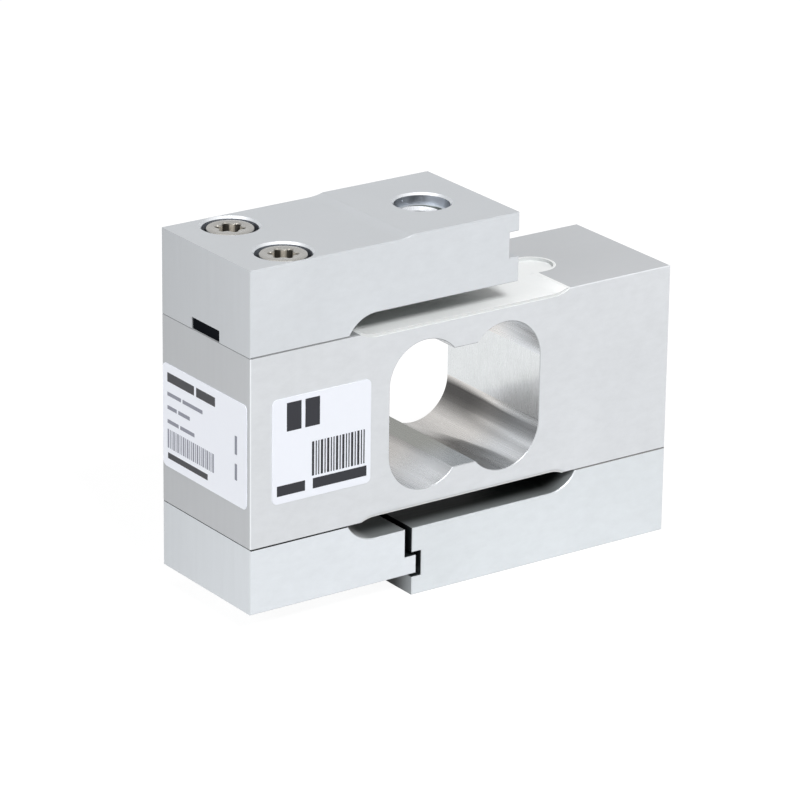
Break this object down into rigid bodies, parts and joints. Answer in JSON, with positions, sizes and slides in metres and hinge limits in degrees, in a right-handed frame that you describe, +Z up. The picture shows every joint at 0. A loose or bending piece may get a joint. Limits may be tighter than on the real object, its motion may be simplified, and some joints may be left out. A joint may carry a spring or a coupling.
{
  "type": "s-type load cell",
  "caption": "S-type load cell: bending body with a lobed window, offset load blocks bolted above and below with threaded holes on one axis, and a tongue-and-notch overload stop.",
  "frame": {"origin": "under the middle of the cell, on the load axis, at the height of the lower load face", "axes": "+X along the cell from the upper block's screw end towards the lower block's screw end, +Z up along the load axis, -Y the face with the front label"},
  "size_m": [0.0901, 0.0281, 0.0672],
  "materials": {
    "body_aluminium": "fine milled",
    "block_aluminium": "fine milled",
    "screw_steel": "bright stainless",
    "label_film": "white polyester film with printed rules",
    "channel_potting": "matt black potting",
    "gauge_coating": "white silicone coating",
    "gauge_foil": "amber polyimide with metal foil",
    "terminal_board": "green laminate with solder pads"
  },
  "bodies": {
    "root": {"spring_body": "body_aluminium", "upper_load_block": "block_aluminium", "lower_load_block": "block_aluminium", "overload_stop": "block_aluminium", "upper_block_screw_front": "screw_steel", "upper_block_screw_back": "screw_steel", "lower_block_screw_front": "screw_steel", "lower_block_screw_back": "screw_steel", "stop_screw_front": "screw_steel", "stop_screw_back": "screw_steel", "front_label": "label_film", "end_label": "label_film", "upper_channel_seal": "channel_potting", "lower_channel_seal": "channel_potting", "upper_gauge_cover": "gauge_coating", "lower_gauge_cover": "gauge_coating", "upper_strain_gauge_left": "gauge_foil", "upper_strain_gauge_right": "gauge_foil", "lower_strain_gauge_left": "gauge_foil", "lower_strain_gauge_right": "gauge_foil", "upper_terminal_strip": "terminal_board", "lower_terminal_strip": "terminal_board"}
  },
  "joints": []
}
